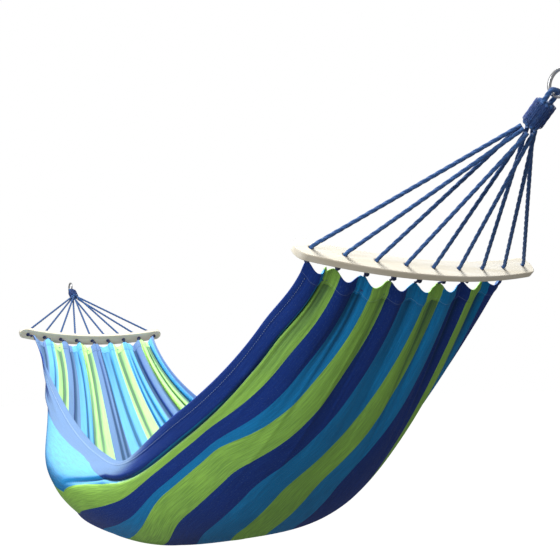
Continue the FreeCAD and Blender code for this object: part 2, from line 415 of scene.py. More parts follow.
print("a mid grey is stored as", round(rgb(128, 128, 128)[0], 3))

# %% [markdown]
# Cord that is laid from strands
#
# Hammock cord is twisted: three strands wind round each other, and the outline of a
# cut is three lobes that turn as they go along. Three separate tubes would work, but
# one skin with a three-lobed outline is lighter and has no hidden inner faces. The
# skin follows points read from a smooth NURBS line through the cord's few route
# points. The strands press each other flat, so the lobes are lower than those of round
# strands. Each corner also keeps where it lies, as metres along the cord and an angle
# round it, so that the finish can draw fibres that follow the twist.

# %% Smooth lines
def smooth_line(route, step):
    curve = bpy.data.curves.new("route", "CURVE")
    curve.dimensions = "3D"
    spline = curve.splines.new("NURBS")
    spline.points.add(len(route) - 1)
    for point, place in zip(spline.points, route):
        point.co = (*place, 1.0)
    spline.order_u = 3
    spline.use_endpoint_u = True
    spline.resolution_u = 32
    holder = bpy.data.objects.new("route", curve)
    mesh = bpy.data.meshes.new_from_object(holder)
    fine = np.array([v.co[:] for v in mesh.vertices])
    bpy.data.objects.remove(holder)
    bpy.data.meshes.remove(mesh)
    bpy.data.curves.remove(curve)
    return evenly(fine, step)


def evenly(line, step):
    run = np.concatenate([[0.0], np.cumsum(np.linalg.norm(np.diff(line, axis=0), axis=1))])
    count = max(int(round(run[-1] / step)), 3)
    stops = np.linspace(0.0, run[-1], count + 1)
    return np.column_stack([np.interp(stops, run, line[:, k]) for k in range(3)])


def length_of(line):
    return float(np.linalg.norm(np.diff(line, axis=0), axis=1).sum())


print("a straight line of 1 m has", len(smooth_line([(0, 0, 0), (1, 0, 0)], 0.25)), "points")

# %% Frames that don't spin along a line
def frames_along(line):
    tangents = np.gradient(line, axis=0)
    tangents /= np.linalg.norm(tangents, axis=1)[:, None]
    helper = np.array([0.0, 0.0, 1.0]) if abs(tangents[0][2]) < 0.9 else np.array([0.0, 1.0, 0.0])
    first = np.cross(tangents[0], helper)
    first /= np.linalg.norm(first)
    normals = [first]
    for tangent in tangents[1:]:
        kept = normals[-1] - tangent * normals[-1].dot(tangent)
        normals.append(kept / np.linalg.norm(kept))
    normals = np.array(normals)
    return normals, np.cross(tangents, normals)


lobe_share = 0.38


def lobed_radius(angle, radius, strands):
    if strands == 1:
        return np.full_like(angle, radius)
    strand = radius * math.sin(math.pi / strands) / (1 + math.sin(math.pi / strands))
    offset = radius - strand
    turn = (angle + math.pi / strands) % (2 * math.pi / strands) - math.pi / strands
    inside = np.maximum(strand**2 - (offset * np.sin(turn)) ** 2, 0.0)
    round_strands = offset * np.cos(turn) + np.sqrt(inside)
    return (1 - lobe_share) * radius + lobe_share * round_strands


lobe, valley = lobed_radius(np.array([0.0, math.pi / 3]), 0.003, 3) * 1000
print("a 6 mm cord reaches", round(lobe, 2), "mm at its lobes and", round(valley, 2), "mm between them")

# %% The cord maker
def mesh_object(name, corners, faces, material):
    mesh = bpy.data.meshes.new(name)
    mesh.from_pydata([tuple(c) for c in corners], [], faces)
    mesh.polygons.foreach_set("use_smooth", [True] * len(mesh.polygons))
    mesh.update()
    mesh.materials.append(material)
    piece = bpy.data.objects.new(name, mesh)
    bpy.context.scene.collection.objects.link(piece)
    return piece


def note(piece, name, values):
    layer = piece.data.attributes.new(name, "FLOAT_VECTOR", "POINT")
    layer.data.foreach_set("vector", np.asarray(values, np.float32).ravel())


def skin(line, radius, strands, lay, around, taper=(0.0, 0.0)):
    normals, sides = frames_along(line)
    run = np.concatenate([[0.0], np.cumsum(np.linalg.norm(np.diff(line, axis=0), axis=1))])
    angles = np.linspace(0, 2 * math.pi, around, endpoint=False)
    corners = []
    marks = []
    for place, normal, side, at in zip(line, normals, sides, run):
        size = 1.0
        if taper[0] and at < taper[0]:
            size = math.sqrt(max(1 - (1 - at / taper[0]) ** 2, 0.01))
        if taper[1] and run[-1] - at < taper[1]:
            size = math.sqrt(max(1 - (1 - (run[-1] - at) / taper[1]) ** 2, 0.01))
        turn = 2 * math.pi * at / lay
        reach = lobed_radius(angles, radius, strands) * size
        wound = angles + turn
        corners.append(place + np.outer(reach * np.cos(wound), normal)
                       + np.outer(reach * np.sin(wound), side))
        marks.append(np.column_stack([np.full(around, at), angles, np.full(around, run[-1] - at)]))
    corners = np.concatenate(corners)
    marks = np.concatenate(marks)
    faces = [(r * around + k, r * around + (k + 1) % around,
              (r + 1) * around + (k + 1) % around, (r + 1) * around + k)
             for r in range(len(line) - 1) for k in range(around)]
    faces.append(tuple(range(around))[::-1])
    faces.append(tuple((len(line) - 1) * around + k for k in range(around)))
    return corners, faces, marks


def joined_skins(name, skins, material):
    corners = []
    faces = []
    marks = []
    start = 0
    for some_corners, some_faces, some_marks in skins:
        corners.append(some_corners)
        marks.append(some_marks)
        faces += [tuple(start + k for k in face) for face in some_faces]
        start += len(some_corners)
    piece = mesh_object(name, np.concatenate(corners), faces, material)
    note(piece, "lay", np.concatenate(marks))
    return piece


test_corners, test_faces, _ = skin(np.linspace((0, 0, 0), (0.1, 0, 0), 11), 0.003, 3, 0.03, 18)
print("a test cord has", len(test_corners), "corners and", len(test_faces), "faces")

# %% [markdown]
# The finish of the cords
#
# The cords are dyed cotton in navy, with fibres that catch a little light and lighter
# flecks where the dye has rubbed off the crowns of the strands. The fibres run along
# each strand, so their noise is stretched along the cord's own length coordinate.

# %% Cord finish
def cord_finish(name, deep, light, fleck):
    material, graph, shader = finish(name, {"Sheen Weight": 0.25, "Sheen Roughness": 0.5, "IOR": 1.45})
    along, angle, _ = parts_of(reading(graph, "lay"))
    yarns = noise(joined(graph, along * 160.0, angle * 5.0, 0.0), 1.0, 3.0, 0.65)
    mottled = noise(places(graph), 95.0, 2.0, 0.6)
    crowns = ranged(angle.maths("COSINE", angle * 3.0), -0.5, 1.0)
    shade = mixed(ranged(yarns, 0.35, 0.68), deep, light)
    wear_and_painted_light = ranged(mottled * 0.6 + yarns * 0.4, 0.56, 0.70) * crowns
    feed(shader, "Base Color", mixed(wear_and_painted_light * 0.7, shade, fleck))
    feed(shader, "Roughness", ranged(yarns, 0.3, 0.7, 0.72, 0.92))
    feed(shader, "Normal", bump(yarns, 0.6, 0.0005))
    return material


navy_cord = cord_finish("navy_cord", rgb(22, 54, 112), rgb(56, 108, 168), rgb(138, 184, 214))
dark_cord = cord_finish("dark_cord", rgb(12, 26, 62), rgb(24, 50, 112), rgb(64, 98, 158))
blue_twine = cord_finish("blue_twine", rgb(28, 62, 140), rgb(56, 104, 190), rgb(150, 186, 228))
print("cord finishes:", [m.name for m in (navy_cord, dark_cord, blue_twine)])

# %% [markdown]
# Nine suspension lines at each end
#
# A line leaves the whipped neck, runs straight to its hole in the bar, turns into the
# hole and ends inside it. The route has the same points as the frame's own tube: the
# neck, one point close before the bend because the run on its other side is so short,
# the bend itself, and the end inside the wood. The near lines ride with the near fan.
# The far fan can fold over the far bar, so the far lines bend between the two bodies
# just outside the hole.

# %% Where each line starts
line_start_depth = 0.002
line_bend_lead = 0.003
line_end_depth = 0.0085
line_bend_support = 0.0115


def line_seat(number):
    if number == 0:
        return 0.0, 0.0
    step = math.pi / 8
    angle = step * 3 if abs(number) <= 2 else step
    height = line_circle * math.sin(angle) * (-1 if number % 2 else 1)
    return math.copysign(line_circle * math.cos(angle), number), height


def line_route(number):
    seat_side, seat_up = line_seat(number)
    side = number * hole_pitch
    start = fan_point(fan_reach - line_start_depth, seat_side, gather_lift + seat_up)
    bend = fan_point(bar_face + line_bend_lead, side, smile(side))
    end = fan_point(bar_face - line_end_depth, side, smile(side))
    before = bend + (start - bend) / np.linalg.norm(start - bend) * line_bend_support
    outside = neck_radius + seat_gap
    dome = fan_point(fan_reach, 0, gather_lift)
    heading = (bend - start) / np.linalg.norm(bend - start)
    reach = start - dome
    ahead = reach.dot(heading)
    slide = -ahead + math.sqrt(max(ahead**2 - reach.dot(reach) + outside**2, 0.0))
    return [start + heading * slide, before, bend, end]


print("line 1 sits", [round(v * 1000, 1) for v in line_seat(-4)], "mm from the neck's middle")

# %% Make the suspension lines
suspension_length = {}
for end in ends:
    for number in cord_numbers:
        line = smooth_line(at_end(end, line_route(number)), 0.0016)
        name = "%s_line_%d" % (end, number + 5)
        skins = [skin(line, line_radius, strands=3, lay=0.050, around=18, taper=(0.0, 0.002))]
        piece = joined_skins(name, skins, navy_cord)
        if end == "near":
            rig.ride(piece, "near_fan")
        else:
            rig.blend(piece, "far_bar", "far_fan",
                     at_end(end, fan_point(0.010, 0, 0)), at_end(end, fan_point(0.030, 0, 0)))
        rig.replaces(piece, "%s_suspension_line_%d" % (end, number + 5))
        if number == 0:
            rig.replaces(piece, end + "_line_tails")
        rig.slot(piece, "rope")
        suspension_length[name] = length_of(line)
        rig.cord(piece, exit=tuple(line[0]), length=suspension_length[name], diameter=2 * line_radius,
                far_end="object", stiffness="limp", lay="taut", path=line)
print("suspension lines, shortest and longest:",
      round(min(suspension_length.values()), 3), round(max(suspension_length.values()), 3))

# %% [markdown]
# The gathered neck and its whipping
#
# Above the lines the nine cords run side by side, and a whipping binds them: thirteen
# turns of thin twine pulled tight. The bundle is eight cords round a thicker heart. Its
# lower end has to follow the lines when the fan swings, so it bends between the eye
# and the fan across its last 12 mm.

# %% The bundle of cords
outer_cords = 8
bundle_overlap = 0.004


def bundle_skins(end):
    skins = []
    low, high = fan_reach - bundle_overlap, fan_reach + neck_length
    for k in range(outer_cords):
        angle = 2 * math.pi * k / outer_cords + 0.2
        side, up = line_circle * math.cos(angle), line_circle * math.sin(angle)
        route = [fan_point(a, side, gather_lift + up) for a in (low, (low + high) / 2, high)]
        line = smooth_line(at_end(end, route), 0.0016)
        skins.append(skin(line, 0.0050, strands=3, lay=0.03, around=18, taper=(bundle_overlap, 0.002)))
    route = [fan_point(a, 0, gather_lift) for a in (low, (low + high) / 2, high)]
    line = smooth_line(at_end(end, route), 0.002)
    skins.append(skin(line, 0.0078, strands=3, lay=0.04, around=18))
    return skins


for end in ends:
    bundle = joined_skins(end + "_gathered_cords", bundle_skins(end), navy_cord)
    start, stop = fan_point(fan_reach - bundle_overlap, 0, 0), fan_point(fan_reach + 0.008, 0, 0)
    if end == "near":
        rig.blend(bundle, "near_fan", "near_eye", at_end(end, start), at_end(end, stop))
    else:
        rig.blend(bundle, "far_fan", "far_eye", at_end(end, start), at_end(end, stop))
    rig.replaces(bundle, end + "_gathered_neck")
    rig.slot(bundle, "rope")
print("bundle corners:", len(bundle.data.vertices))

# %% The whipping
whipping_turns = 13
whipping_pitch = 0.003
twine_radius = 0.0014


def whipping_line(end):
    first = fan_reach + (neck_length - whipping_turns * whipping_pitch) / 2
    angles = np.linspace(0, 2 * math.pi * whipping_turns, 32 * whipping_turns + 1)
    coil = neck_radius + 0.00135
    line = []
    for a in angles:
        along = first + whipping_pitch * a / 2 / math.pi
        line.append(fan_point(along, coil * math.cos(a), gather_lift + coil * math.sin(a)))
    return at_end(end, line)


for end in ends:
    skins = [skin(whipping_line(end), twine_radius, strands=2, lay=0.006, around=12)]
    whip = joined_skins(end + "_whipping_twine", skins, blue_twine)
    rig.ride(whip, end + "_eye")
    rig.replaces(whip, end + "_whipping")
    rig.slot(whip, "whipping_cord")
print("whipping turns:", whipping_turns)

# %% [markdown]
# The rope eye
#
# Above the whipping the rope turns back on itself round the steel ring. The eye is a
# slightly thicker rope than the lines, and it follows the frame's own path: a leg, half
# a turn round the ring's band and the other leg.

# %% The way of the rope in an eye
half_ring_width = 0.0035
half_ring_band = 0.0025
ring_edge_radius = 0.002
eye_side_gap = 0.0007
eye_rope_radius = 0.0045


def eye_route():
    bend = half_ring_width + eye_side_gap
    leg = bend + eye_rope_radius
    across = half_ring_width - ring_edge_radius
    reach = math.sqrt((bend - seat_gap - ring_edge_radius) ** 2 - across**2)
    crown = ring_centre - ring_radius + half_ring_band - ring_edge_radius - reach
    foot = fan_reach + neck_length - 0.003
    one_leg = [(foot, leg), (crown, leg), (crown + leg * 0.9, leg), (crown + leg * 1.02, leg * 0.45)]
    other_leg = [(along, -side) for along, side in reversed(one_leg)]
    return [fan_point(along, side, gather_lift) for along, side in one_leg + other_leg]


print("route points of an eye:", len(eye_route()))

# %% Rope eyes
for end in ends:
    line = smooth_line(at_end(end, eye_route()), 0.0012)
    skins = [skin(line, eye_rope_radius, strands=3, lay=0.030, around=24)]
    eye = joined_skins(end + "_eye_rope", skins, navy_cord)
    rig.ride(eye, end + "_eye")
    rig.replaces(eye, end + "_rope_eye")
    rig.slot(eye, "rope")
print("eye rope length:", round(length_of(line), 3))

# %% [markdown]
# The shape of the bed
#
# The bed hangs in one sweep. Its middle line dips far below the two edges, so every cut
# across it is a wide U, and at both ends it is gathered on nine cords. The frame's
# formula for that surface is repeated here, because the cloth has to lie where the
# frame's plain solid lies. Soft cloth adds what that solid leaves out. Round the middle
# the left edge leans inward and curls over, and toward the near end it is pulled taut.
# Pleats run out from each cord, long creases run along the far half, and on the near
# half one fold beside the left edge tucks a stripe away.

# %% The bed's plain surface
hem_drop = 0.044
hem_lift = 0.013
hem_x, _, hem_z = fan_point(-hem_drop, 0, hem_lift)
half_length = hem_x - middle_x
belly_sag = 0.616
edge_sag = 0.385
hem_curve = 0.028
hem_half_width = 0.255
belly_extra_width = 0.153


def bed_place(x):
    return min(abs(x - middle_x) / half_length, 1.0)


def toward_near(x):
    return (x - middle_x) / half_length


def belly_height(x):
    return hem_z - belly_sag * (1 - bed_place(x) ** 2.43)


def edge_height(x):
    t = bed_place(x)
    return hem_z + hem_curve * t**8 - edge_sag * (1 - t**2.09)


def half_width(x):
    return hem_half_width + belly_extra_width * math.cos(math.pi / 2 * bed_place(x)) ** 2


def bed_height(x, q):
    power = 2 + 2.4 * math.sqrt(max(math.cos(math.pi / 2 * bed_place(x)), 0.0))
    return belly_height(x) + (edge_height(x) - belly_height(x)) * np.abs(q) ** power


print("half width in the middle:", round(half_width(middle_x), 3),
      "and at the hem:", round(half_width(hem_x), 3))

# %% The leaning edge
lean_centre = -0.12
lean_most = 0.155
curl_start = 0.6
rim_lift = 0.034


def gently(share):
    share = min(max(share, 0.0), 1.0)
    return share * share * (3 - 2 * share)


def rim_lean(x):
    t = toward_near(x)
    spread = 0.60 if t < lean_centre else 0.44
    return math.exp(-(((t - lean_centre) / spread) ** 2)) * (1 - min(abs(t), 1.0) ** 8)


def curled_rim(x, s):
    wide, high, low = half_width(x), edge_height(x), bed_height(x, curl_start)
    slope = (bed_height(x, curl_start + 0.02) - low) / 0.02
    bulge = 1.27 + 0.5 * max(-toward_near(x) - 0.2, 0.0)
    corners = np.array([(-curl_start * wide, low), (-0.93 * wide, low + slope * 0.30),
                        (-bulge * wide, high + 0.020), (-wide + lean_most, high)])
    weights = np.array([(1 - s) ** 3, 3 * s * (1 - s) ** 2, 3 * s**2 * (1 - s), s**3])
    return weights.T @ corners


def section(x, shares):
    q = np.linspace(-1, 1, 401)
    y = q * half_width(x)
    z = bed_height(x, q)
    turned = q < -curl_start
    curl = curled_rim(x, (-q[turned] - curl_start) / (1 - curl_start))
    y[turned] += (curl[:, 0] - y[turned]) * rim_lean(x)
    z[turned] += (curl[:, 1] - z[turned]) * rim_lean(x)
    t = toward_near(x)
    z += rim_lift * gently((t - 0.20) / 0.35) * gently((1 - t) / 0.16) * np.clip(-q, 0, 1) ** 5
    run = np.concatenate([[0.0], np.cumsum(np.hypot(np.diff(y), np.diff(z)))])
    at = np.asarray(shares) * run[-1]
    slope_y, slope_z = np.gradient(y, run), np.gradient(z, run)
    head = np.column_stack([np.interp(at, run, slope_y), np.interp(at, run, slope_z)])
    head /= np.linalg.norm(head, axis=1)[:, None]
    middle = np.column_stack([np.full(len(at), x), np.interp(at, run, y), np.interp(at, run, z)])
    normal = np.column_stack([np.zeros(len(at)), -head[:, 1], head[:, 0]])
    return middle, normal, run[-1]


print("arc across the middle:", round(section(middle_x, [0.0])[2], 3),
      "and at the hem:", round(section(hem_x, [0.0])[2], 3))

# %% [markdown]
# Folds, creases and the tucked stripe
#
# Every cord gathers the hem into small folds that run out and fade. The far half also
# shows long creases, each given by its share of the width and by how far it reaches
# along the bed, in metres. The tuck is one long fold by the left edge of the near half.

# %% Folds of the cloth
fold_seed = np.random.RandomState(11)
end_folds = []
for end_sign in (1, -1):
    for k in range(44):
        cord_share = (k % 9) / 8
        end_folds.append({
            "sign": end_sign,
            "share": cord_share + fold_seed.uniform(-0.035, 0.035),
            "drift": fold_seed.uniform(-0.05, 0.05),
            "height": fold_seed.uniform(-0.0035, 0.0040),
            "width": fold_seed.uniform(0.006, 0.014),
            "reach": fold_seed.uniform(0.10, 0.42)})

far_creases = [(0.075, 0.30), (0.145, 0.42), (0.206, 0.60), (0.283, 0.95), (0.347, 0.95),
               (0.384, 0.80), (0.424, 0.45), (0.502, 0.95), (0.530, 0.60), (0.601, 0.50),
               (0.672, 0.40), (0.741, 0.95), (0.770, 0.70), (0.813, 0.95), (0.878, 0.95),
               (0.918, 0.95), (0.945, 0.70)]
crease_depth = 0.0110
pleat_depth = 0.007
pleat_fade = 0.42
tuck_stations = (-0.05, 0.20, 0.75, 1.0)
tuck_shares = (0.155, 0.066, 0.070, 0.0885)
tuck_height = 0.012


def tuck_strength(x):
    place = (x - middle_x + 0.02) / 0.25
    return float(np.clip(place, 0.0, 1.0)) ** 0.7


def pleats(x, shares):
    t = bed_place(x)
    fade = max(0.0, (t - 1 + pleat_fade) / pleat_fade)
    height = pleat_depth * fade * fade * np.cos(2 * cord_gaps * math.pi * shares)
    for fold in end_folds:
        away = half_length - fold["sign"] * (x - middle_x)
        if away > 3 * fold["reach"]:
            continue
        centre = fold["share"] + fold["drift"] * away
        fall = math.exp(-((away / fold["reach"]) ** 2)) * min(1.0, 0.35 + away / 0.06)
        height = height + fold["height"] * fall * np.exp(-(((shares - centre) / fold["width"]) ** 2))
    from_far = half_length + (x - middle_x)
    for k, (share, reach) in enumerate(far_creases):
        width = 0.0055 + 0.0065 * abs(math.sin(2.3 * k))
        deep = crease_depth * math.exp(-((from_far / reach) ** 4)) * min(1.0, 0.3 + from_far / 0.08)
        wander = 0.004 * math.sin(9 * x + 40 * share)
        height = height - deep * np.exp(-(((shares - share - wander) / width) ** 2))
    soft = 0.0030 * np.sin(7.0 * shares + 3.0 * x) * np.sin(5.0 * (x - middle_x) + 9.0 * shares)
    tuck_at = np.interp(toward_near(x), tuck_stations, tuck_shares)
    tuck = tuck_height * tuck_strength(x) * np.exp(-(((shares - tuck_at) / 0.0050) ** 2))
    return height + soft * (1 - t) + tuck


def bed_points(x, shares, lift=0.0):
    shares = np.asarray(shares, float)
    middle, normal = section(x, np.clip(shares, 0, 1))[:2]
    return middle + normal * (pleats(x, shares) + lift)[:, None]


print("folds at the two ends:", len(end_folds), "and creases of the far half:", len(far_creases))

# %% [markdown]
# Where each stripe shows
#
# The cloth is wider than it looks, because part of each stripe lies hidden in folds too
# fine to model. A stripe's width is what it measures on the flat cloth, as a share of
# their sum. How far it lies open on the near half is a second list. Toward the near hem
# and the far half the cloth eases back, and there only the edge stripes are squeezed.

# %% Shares of the cloth
stripe_widths = [70, 45, 52, 58, 52, 62, 62, 78, 62, 52, 58, 52, 30, 70]
lies_open = [0.31, 0.04, 0.18, 0.24, 0.12, 0.46, 0.46, 0.41, 0.64, 0.52, 1.00, 0.90, 0.52, 0.35]
stripe_starts = np.cumsum([0] + stripe_widths[:-1]) / sum(stripe_widths)


def cloth_share(x, shares):
    cloth = np.linspace(0, 1, 1201)
    t = toward_near(x)
    folded_here = gently((t + 0.12) / 0.55) * gently((1.0 - t) / 0.40)
    shown = np.array(lies_open)[np.searchsorted(stripe_starts, cloth, "right") - 1]
    tucked = tuck_strength(x)
    far_side = 1 - gently((t + 0.20) / 0.50)
    leaning = far_side * (1 - bed_place(x))
    first_stripe = cloth < stripe_starts[1]
    second_stripe = (cloth > stripe_starts[1]) & (cloth < stripe_starts[2])
    last_stripe = cloth > stripe_starts[-1]
    squeeze = 1 + (1.3 * leaning - 0.86 * tucked) * second_stripe
    squeeze -= (0.20 * tucked + 0.52 * leaning) * first_stripe
    squeeze -= 0.80 * far_side * last_stripe
    squeeze += (shown - squeeze) * folded_here
    run = np.concatenate([[0.0], np.cumsum((squeeze[1:] + squeeze[:-1]) / 2)])
    return np.interp(shares, run / run[-1], cloth)


print("the middle of the bed shows the cloth at", cloth_share(middle_x, [0.25, 0.5, 0.75]).round(3))

# %% [markdown]
# The canvas
#
# A sheet is two skins a couple of millimetres apart, joined at the rim. The grid is
# fine across the bed, where the folds are, and coarser along it. Every corner keeps
# its place on the flat cloth, along the warp and across the stripes, so that stripes,
# yarns and weave follow the folds as real ones do.

# %% Grid and sheet makers
flat_width = 1.15
flat_length = 2.45


def grid_normals(grid):
    down = np.gradient(grid, axis=0)
    across = np.gradient(grid, axis=1)
    normal = np.cross(down, across)
    return normal / np.linalg.norm(normal, axis=2)[..., None]


def run_along(xs):
    points = np.array([[x, belly_height(x)] for x in xs])
    return np.concatenate([[0.0], np.cumsum(np.linalg.norm(np.diff(points, axis=0), axis=1))])


def shell(name, grid, thickness, marks, folded, material):
    normal = grid_normals(grid)
    rows, columns = grid.shape[:2]
    upper = (grid + normal * thickness[..., None]).reshape(-1, 3)
    lower = (grid - normal * thickness[..., None]).reshape(-1, 3)
    count = rows * columns
    faces = []
    for r in range(rows - 1):
        for c in range(columns - 1):
            a = r * columns + c
            faces.append((a, a + 1, a + 1 + columns, a + columns))
            faces.append((count + a, count + a + columns, count + a + 1 + columns, count + a + 1))
    rim = [c for c in range(columns)]
    rim += [r * columns + columns - 1 for r in range(1, rows)]
    rim += [(rows - 1) * columns + c for c in range(columns - 2, -1, -1)]
    rim += [r * columns for r in range(rows - 2, 0, -1)]
    for a, b in zip(rim, rim[1:] + rim[:1]):
        faces.append((b, a, count + a, count + b))
    piece = mesh_object(name, np.concatenate([upper, lower]), faces, material)
    flat_marks = marks.reshape(-1, 3)
    note(piece, "cloth", np.concatenate([flat_marks, flat_marks]))
    # These marks drive painted light: x is how far the skin faces up, for painted sunlight, and y is the fold depth,
    # for painted shade in the folds.
    wear_and_painted_light = np.column_stack([normal[..., 2].ravel() + 0.35, folded.ravel(), np.zeros(count)])
    note(piece, "wear", np.concatenate([wear_and_painted_light, (0.7, 0, 0) - wear_and_painted_light]))
    return piece


print("flat cloth:", flat_width, "by", flat_length, "m")

# %% [markdown]
# The finish of the canvas
#
# The stripes are woven in, so they are drawn from the cloth's own across coordinate,
# with edges that wander by a thread. On top come slubs, which are thicker stretches of
# yarn along the stripes, finer flecks where the weft shows, and a weave that only the
# bump sees. Light and shade are painted in as well: what faces up is painted paler, as
# painted sunlight, and the bottoms of the folds are painted dark, as painted shade.
# The hems carry a row of pale stitches. A touch of sheen makes the cotton glow where
# the light grazes it.

# %% Canvas finish
navy = rgb(22, 58, 142)
teal = rgb(20, 138, 204)
green = rgb(160, 214, 92)
stripe_colours = [navy, teal, green, navy, teal, green, navy, teal, green, teal, navy, green, teal, navy]
stripe_stops = list(zip(stripe_starts.tolist(), stripe_colours))
stitch_pitch = 0.0075
warp_spacing = 0.0019
weft_spacing = 0.0021


def canvas_finish(name):
    material, graph, shader = finish(
        name, {"Sheen Weight": 0.06, "Sheen Roughness": 0.4, "Specular IOR Level": 0.18})
    along, across, seam = parts_of(reading(graph, "cloth"))
    faces_up, folded, _ = parts_of(reading(graph, "wear"))
    thread = noise(joined(graph, along * 260.0, across * 900.0, 0.0), 1.0, 1.0)
    wandering = across + (thread - 0.5) * 0.0022
    ramp = graph.node("ShaderNodeValToRGB", {"stops": stripe_stops}, {"Fac": wandering})
    slubs = noise(joined(graph, along * 14.0, across * 420.0, 3.0), 1.0, 3.0, 0.6)
    flecks = noise(joined(graph, along * 210.0, across * 230.0, 7.0), 1.0, 3.0, 0.7)
    cloudy = noise(places(graph), 5.0, 2.0)
    darker = mixed(ranged(slubs, 0.30, 0.72), (0.66, 0.70, 0.76, 1.0), (1.16, 1.14, 1.12, 1.0))
    woven = vector_maths("MULTIPLY", ramp, darker)
    pale = mixed(ranged(flecks, 0.52, 0.80) * 0.16, woven, (0.42, 0.62, 0.62, 1.0))
    clouded = mixed(ranged(cloudy, 0.30, 0.80) * 0.12, pale, (0.01, 0.04, 0.12, 1.0))
    # Painted sunlight: what faces up is painted paler.
    painted_sunlit_tops = mixed(ranged(faces_up, 0.45, 1.0) * 0.17, clouded, (0.65, 1.0, 0.95, 1.0))
    # Painted shade: the bottoms of the folds are painted dark.
    painted_fold_shade = mixed(ranged(folded, 0.0008, 0.0090) * 0.72, painted_sunlit_tops, (0.006, 0.035, 0.085, 1.0))
    thread_gaps = ranged(graph.maths("SINE", along * (2 * math.pi / stitch_pitch)), -0.2, 0.5)
    stitched = (1 - ranged(seam.maths("ABSOLUTE", seam), 0.010, 0.028)) * thread_gaps
    feed(shader, "Base Color", mixed(stitched * 0.75, painted_fold_shade, rgb(196, 214, 226)))
    feed(shader, "Roughness", ranged(flecks, 0.2, 0.8, 0.78, 0.96))
    warp = along.maths("SINE", across * (2 * math.pi * flat_width / warp_spacing))
    weft = along.maths("SINE", along * (2 * math.pi / weft_spacing))
    weave = warp * weft * 0.5 + slubs * 0.8 + flecks * 0.6
    feed(shader, "Normal", bump(weave, 0.55, 0.0006))
    return material


canvas_cloth = canvas_finish("canvas_cloth")
widest = max(stripe_widths) / sum(stripe_widths) * flat_width
print("stripes:", len(stripe_widths), "and the widest is", round(widest * 1000), "mm")

# %% Make the canvas
along_xs = middle_x + (half_length - 0.020) * np.sin(np.linspace(-math.pi / 2, math.pi / 2, 281))
across_shares = np.concatenate([[0.004], np.linspace(0.008, 0.992, 385), [0.996]])
runs = run_along(along_xs)
grid = np.array([bed_points(x, across_shares) for x in along_xs])
marks = np.array([np.column_stack([np.full(len(across_shares), at), cloth_share(x, across_shares),
                                   np.ones(len(across_shares))]) for x, at in zip(along_xs, runs)])
# The fold depths also set the painted shade in the folds.
fold_depths = -np.array([pleats(x, across_shares) for x in along_xs])
half_thickness = np.full(grid.shape[:2], 0.0012)
canvas = shell("striped_canvas", grid, half_thickness, marks, fold_depths, canvas_cloth)
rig.ride(canvas, "bed")
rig.replaces(canvas, "canvas_bed")
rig.slot(canvas, "canvas")
print("canvas corners:", len(canvas.data.vertices), "length along the belly:", round(runs[-1], 3))

# %% [markdown]
# The rolled side hems
#
# Each long edge is folded over twice and stitched down, so it is a strip some 35 mm
# wide at the middle and 5 mm thick, with a dent along the row of stitches. The strip
# follows the same surface as the canvas and hides its raw edge.

# %% Side hems
strip_columns = 15
side_hem_share = 0.0302


def hem_strip(name, first, last):
    shares = np.linspace(first, last, strip_columns)
    u = np.linspace(0, 1, strip_columns)
    body = 0.0023 * (1 - np.abs(2 * u - 1) ** 5) ** 0.5 + 0.0002
    stitched_at = 0.80 if first < 0.5 else 0.20
    body = body - 0.0006 * np.exp(-(((u - stitched_at) / 0.05) ** 2))
    xs = middle_x + (half_length - 0.022) * np.sin(np.linspace(-math.pi / 2, math.pi / 2, 361))
    grid = np.array([bed_points(x, shares) for x in xs])
    by_the_stitches = np.exp(-(((u - stitched_at) / 0.2) ** 2))
    pucker = 0.00035 * np.sin(np.arange(len(xs)) * 1.7)[:, None] * by_the_stitches[None, :]
    marks = np.array([np.column_stack([np.full(strip_columns, at), cloth_share(x, shares), u - stitched_at])
                      for x, at in zip(xs, run_along(xs))])
    return shell(name, grid, body[None, :] + pucker, marks, np.zeros(pucker.shape), canvas_cloth)


hem_pieces = []
for name, node, first, last in (("left_rolled_hem", "left_side_hem", 0.0, side_hem_share),
                                ("right_rolled_hem", "right_side_hem", 1 - side_hem_share, 1.0)):
    strip = hem_strip(name, first, last)
    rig.ride(strip, "bed")
    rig.replaces(strip, node)
    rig.slot(strip, "canvas")
    hem_pieces.append(strip)
print("side hems:", [p.name for p in hem_pieces])

# %% [markdown]
# The scalloped end hems
#
# At each end the canvas is folded round a rope and stitched, and between the cords the
# edge is cut back in shallow arcs. The casing is thick over the rope and thin at its
# edge. A grid does it again: across the bed from side to side, and out from the canvas
# to the scalloped edge, whose distance changes with the place between two cords.

# %% End hems
scallop_depth = 0.006
scallop_land = 0.011
casing_depth = 0.026
edge_set_back = 0.0055


def scallop(y):
    pitch = 2 * hem_half_width / cord_gaps
    half_chord = pitch / 2 - scallop_land / 2
    radius = (half_chord**2 + scallop_depth**2) / (2 * scallop_depth)
    from_middle = ((y + hem_half_width) % pitch) - pitch / 2
    inside = np.clip(1 - (np.abs(from_middle) / radius) ** 2, 0, None)
    arc = radius * np.sqrt(inside) - (radius - scallop_depth)
    return np.where(np.abs(from_middle) < half_chord, arc, 0.0)


